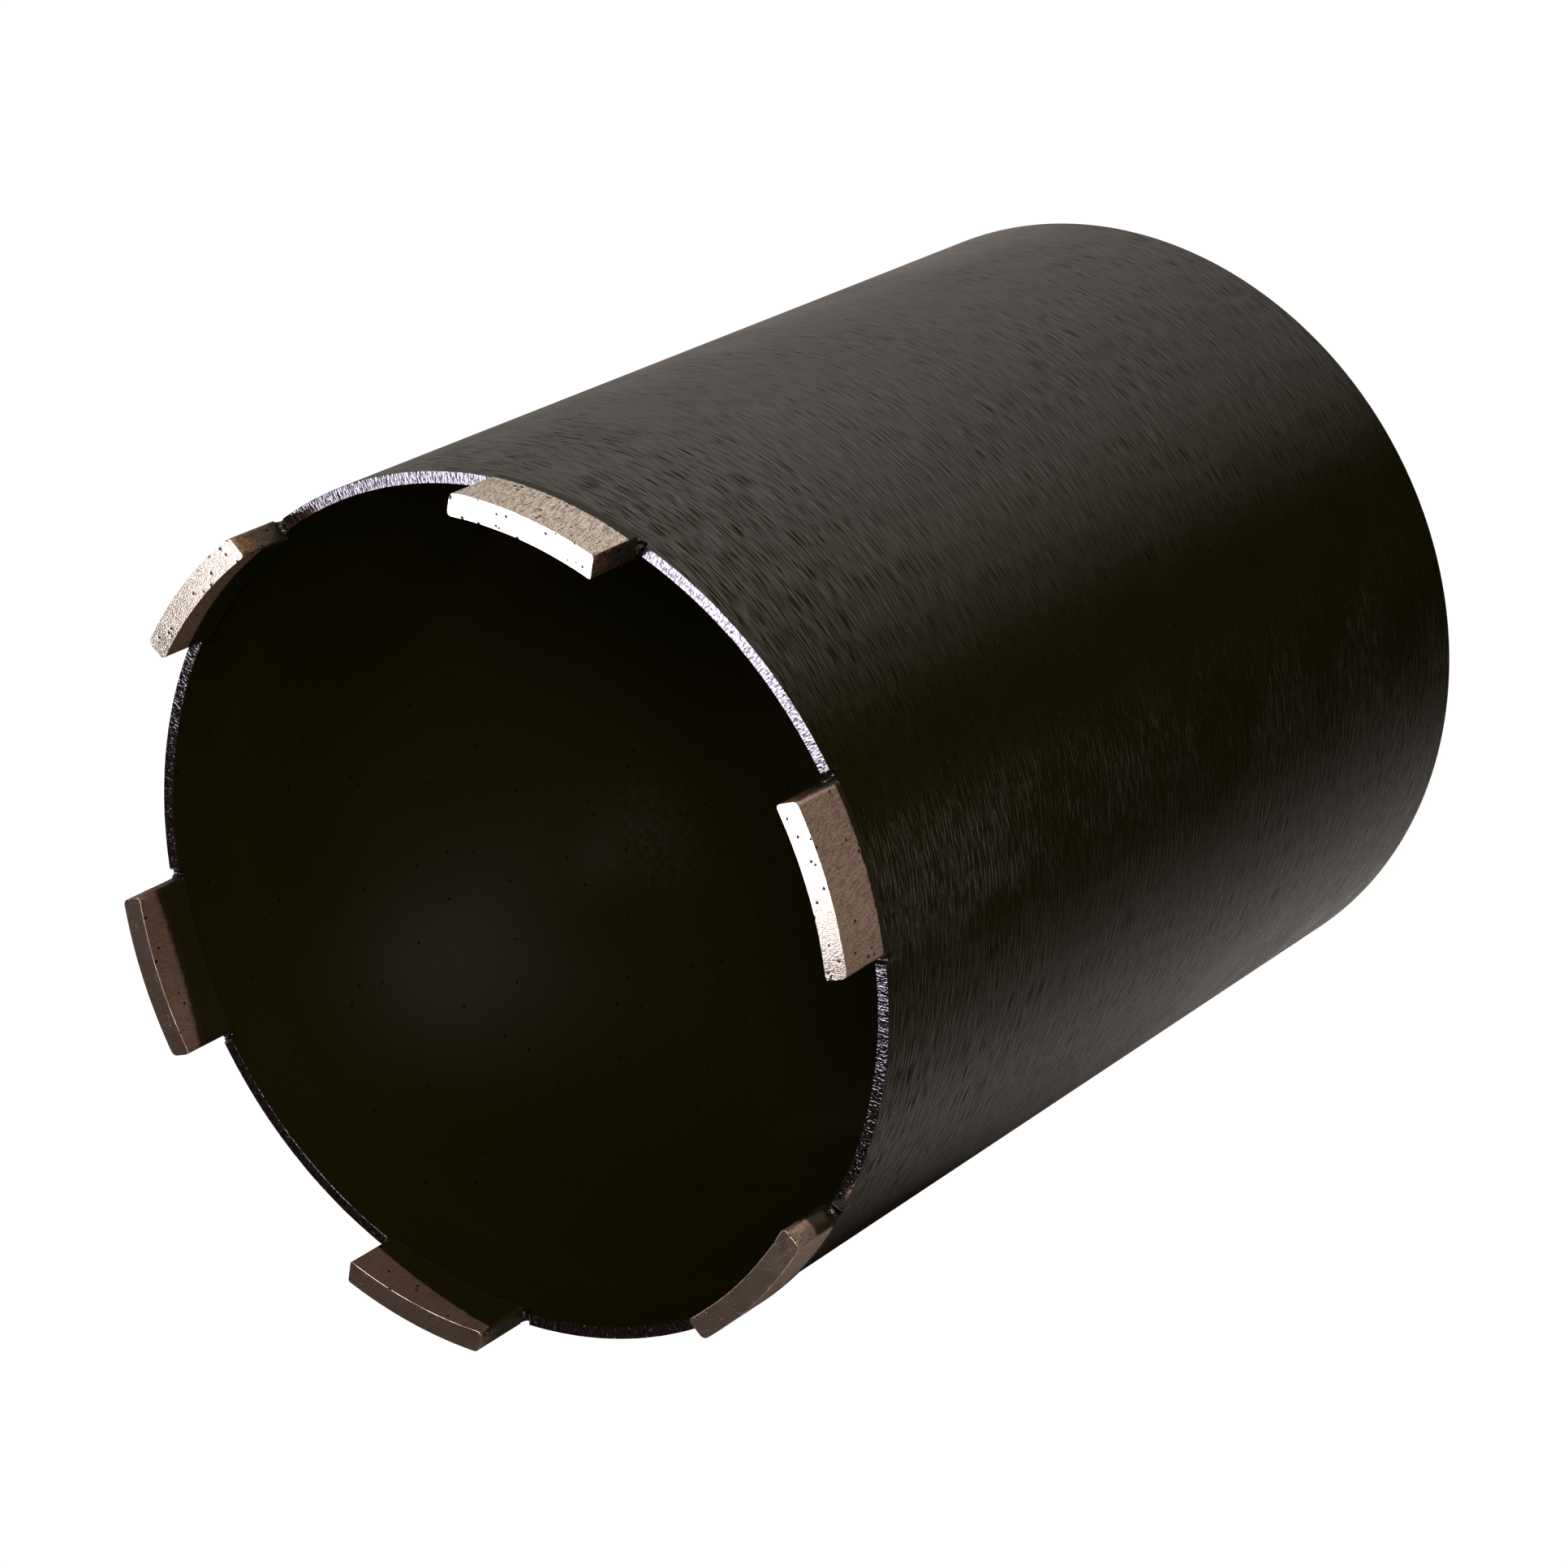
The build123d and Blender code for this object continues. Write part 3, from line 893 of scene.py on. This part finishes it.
# The studio is a white cove. A soft box behind the bit whitens the tops of the crown, a key light shows
# its outer faces, and a low reflector picks out the turning marks on the barrel. The black lacquer
# mirrors the room below it, which is dark in front and paler to either side.
cove_radius, cove_height, cove_bend = 4.0, 5.0, 0.4
cove_glow = 0.96
paper_grey, paper_grain = "#616161", 3.0
room_above = (0.063, 0.042, 0.030)
room_tint, room_warmth = (1.0, 0.92, 0.86), 0.06
upper_slope, lower_slope = math.sin(math.radians(-49)), math.sin(math.radians(-55.5))
horizon = (-0.12, 0.05)
# The room below, all round: an azimuth in degrees, and how pale it is there, nearer the horizon and
# lower. The values are tuned to what the barrel mirrors in the photograph.
room_below = [
    (-180, 0.03, 0.45), (-150, 0.23, 0.17), (-130, 0.24, 0.12), (-112, 0.01, 0.01), (-60, 0.015, 0.015),
    (-44, 0.015, 0.005), (-22, 0.52, 0.13), (0, 0.98, 0.26), (20, 1.0, 0.30), (40, 0.92, 0.32),
    (62, 0.53, 0.34), (83, 0.35, 0.35), (110, 0.28, 0.37), (135, 0.12, 0.50), (150, 0.01, 0.54),
    (180, 0.03, 0.45),
]


def direction(azimuth, elevation):
    """The way to a place in the room, from its azimuth and elevation in degrees."""
    a, e = math.radians(azimuth), math.radians(elevation)
    return Vector((math.cos(a) * math.cos(e), math.sin(a) * math.cos(e), math.sin(e)))


def place_light(name, azimuth, elevation, distance, size, power, colour):
    """A rectangular soft light on a sphere round the crown, aimed at it."""
    light = bpy.data.lights.new(name, "AREA")
    light.shape = "RECTANGLE"
    light.size, light.size_y = size
    light.energy = power
    light.color = linear(colour)[:3]
    way = direction(azimuth, elevation)
    holder = bpy.data.objects.new(name, light)
    holder.location = Vector((0, 0, rim_height * MM)) + way * distance
    holder.rotation_euler = way.to_track_quat("Z", "Y").to_euler()
    holder.visible_camera = False
    scene.collection.objects.link(holder)


place_light("soft_box", 116.0, 65.0, 1.3, (0.57, 0.81), 12.0, "#ffffff")
place_light("key_light", -38.5, 47.0, 0.9, (0.22, 0.22), 10.4, "#ffe8d5")
place_light("low_reflector", -77.0, -31.0, 0.6, (0.22, 0.12), 0.10, "#fff4ea")


def backing_paper():
    """Plain white paper, evenly lit: it reads as pure white behind the bit."""
    made, tree, place = new_material("white_paper")
    grain = put(tree, "Mapping", {"Vector": place, "Scale": (paper_grain,) * 3}, vector_type="TEXTURE")
    grain = put(tree, "TexNoise", {"Vector": grain, "Scale": 1.0, "Detail": 3.0})
    look = {"Base Color": linear(paper_grey), "Specular IOR Level": 0.0}
    look.update({"Emission Color": linear("#ffffff"), "Emission Strength": cove_glow})
    look["Roughness"] = put(tree, "MapRange", {"Value": grain, "To Min": 0.85, "To Max": 0.95})
    put(tree, "OutputMaterial", {"Surface": put(tree, "BsdfPrincipled", look)})
    return made


def cove():
    """A white floor that curves up all round into a dome. Only the camera sees it."""
    bend = cove_radius * cove_bend
    flat = cove_radius - bend
    profile = [(0.0, 0.0), (flat, 0.0)]
    for i in range(1, 13):
        lean = math.pi / 2 * i / 12
        profile.append((flat + bend * math.sin(lean), bend * (1 - math.cos(lean))))
    for i in range(1, 17):
        lean = math.pi / 2 * i / 16
        profile.append((cove_radius * math.cos(lean), bend + cove_height * math.sin(lean)))
    mesh = bpy.data.meshes.new("cove")
    bm = bmesh.new()
    chain = [bm.verts.new((r, 0, h)) for r, h in profile]
    edges = [bm.edges.new(pair) for pair in zip(chain, chain[1:])]
    bmesh.ops.spin(bm, geom=chain + edges, cent=(0, 0, 0), axis=(0, 0, 1), angle=2 * math.pi, steps=96)
    bmesh.ops.remove_doubles(bm, verts=bm.verts, dist=0.001)
    bmesh.ops.recalc_face_normals(bm, faces=bm.faces)
    bmesh.ops.reverse_faces(bm, faces=bm.faces)
    bm.to_mesh(mesh)
    bm.free()
    mesh.polygons.foreach_set("use_smooth", [True] * len(mesh.polygons))
    mesh.materials.append(backing_paper())
    made = bpy.data.objects.new("cove", mesh)
    scene.collection.objects.link(made)
    made.visible_diffuse = False
    made.visible_glossy = False
    made.visible_transmission = False
    made.visible_shadow = False


cove()

world = bpy.data.worlds.new("room")
world.use_nodes = True
room = world.node_tree
room.nodes.clear()
parts = put(room, "SeparateXYZ", {0: put(room, "TexCoord").outputs["Generated"]}).outputs
around = put(room, "Math", {0: parts["Y"], 1: parts["X"]}, operation="ARCTAN2")
around = put(room, "MapRange", {"Value": around, "From Min": -math.pi, "From Max": math.pi})
bands = []
for column in (1, 2):
    band = put(room, "ValToRGB", {0: around})
    band.color_ramp.interpolation = "CARDINAL"
    for row in room_below[1:-1]:
        band.color_ramp.elements.new((row[0] + 180) / 360)
    for stop, row in zip(band.color_ramp.elements, room_below):
        stop.position = (row[0] + 180) / 360
        # The darkest parts of the room are the warmest.
        pale = row[column]
        stop.color = tuple(max(0.0, pale * t - (1 - t) * room_warmth) for t in room_tint) + (1.0,)
    bands.append(band)
share = put(room, "MapRange", {"Value": parts["Z"], "From Min": upper_slope, "From Max": lower_slope})
below = put(room, "Mix", {0: share, 6: bands[0], 7: bands[1]}, data_type="RGBA")
low, high = horizon
share = put(room, "MapRange", {"Value": parts["Z"], "From Min": low, "From Max": high})
light = put(room, "Mix", {0: share, 6: below, 7: room_above + (1.0,)}, data_type="RGBA")
put(room, "OutputWorld", {"Surface": put(room, "Background", {"Color": light})})
scene.world = world
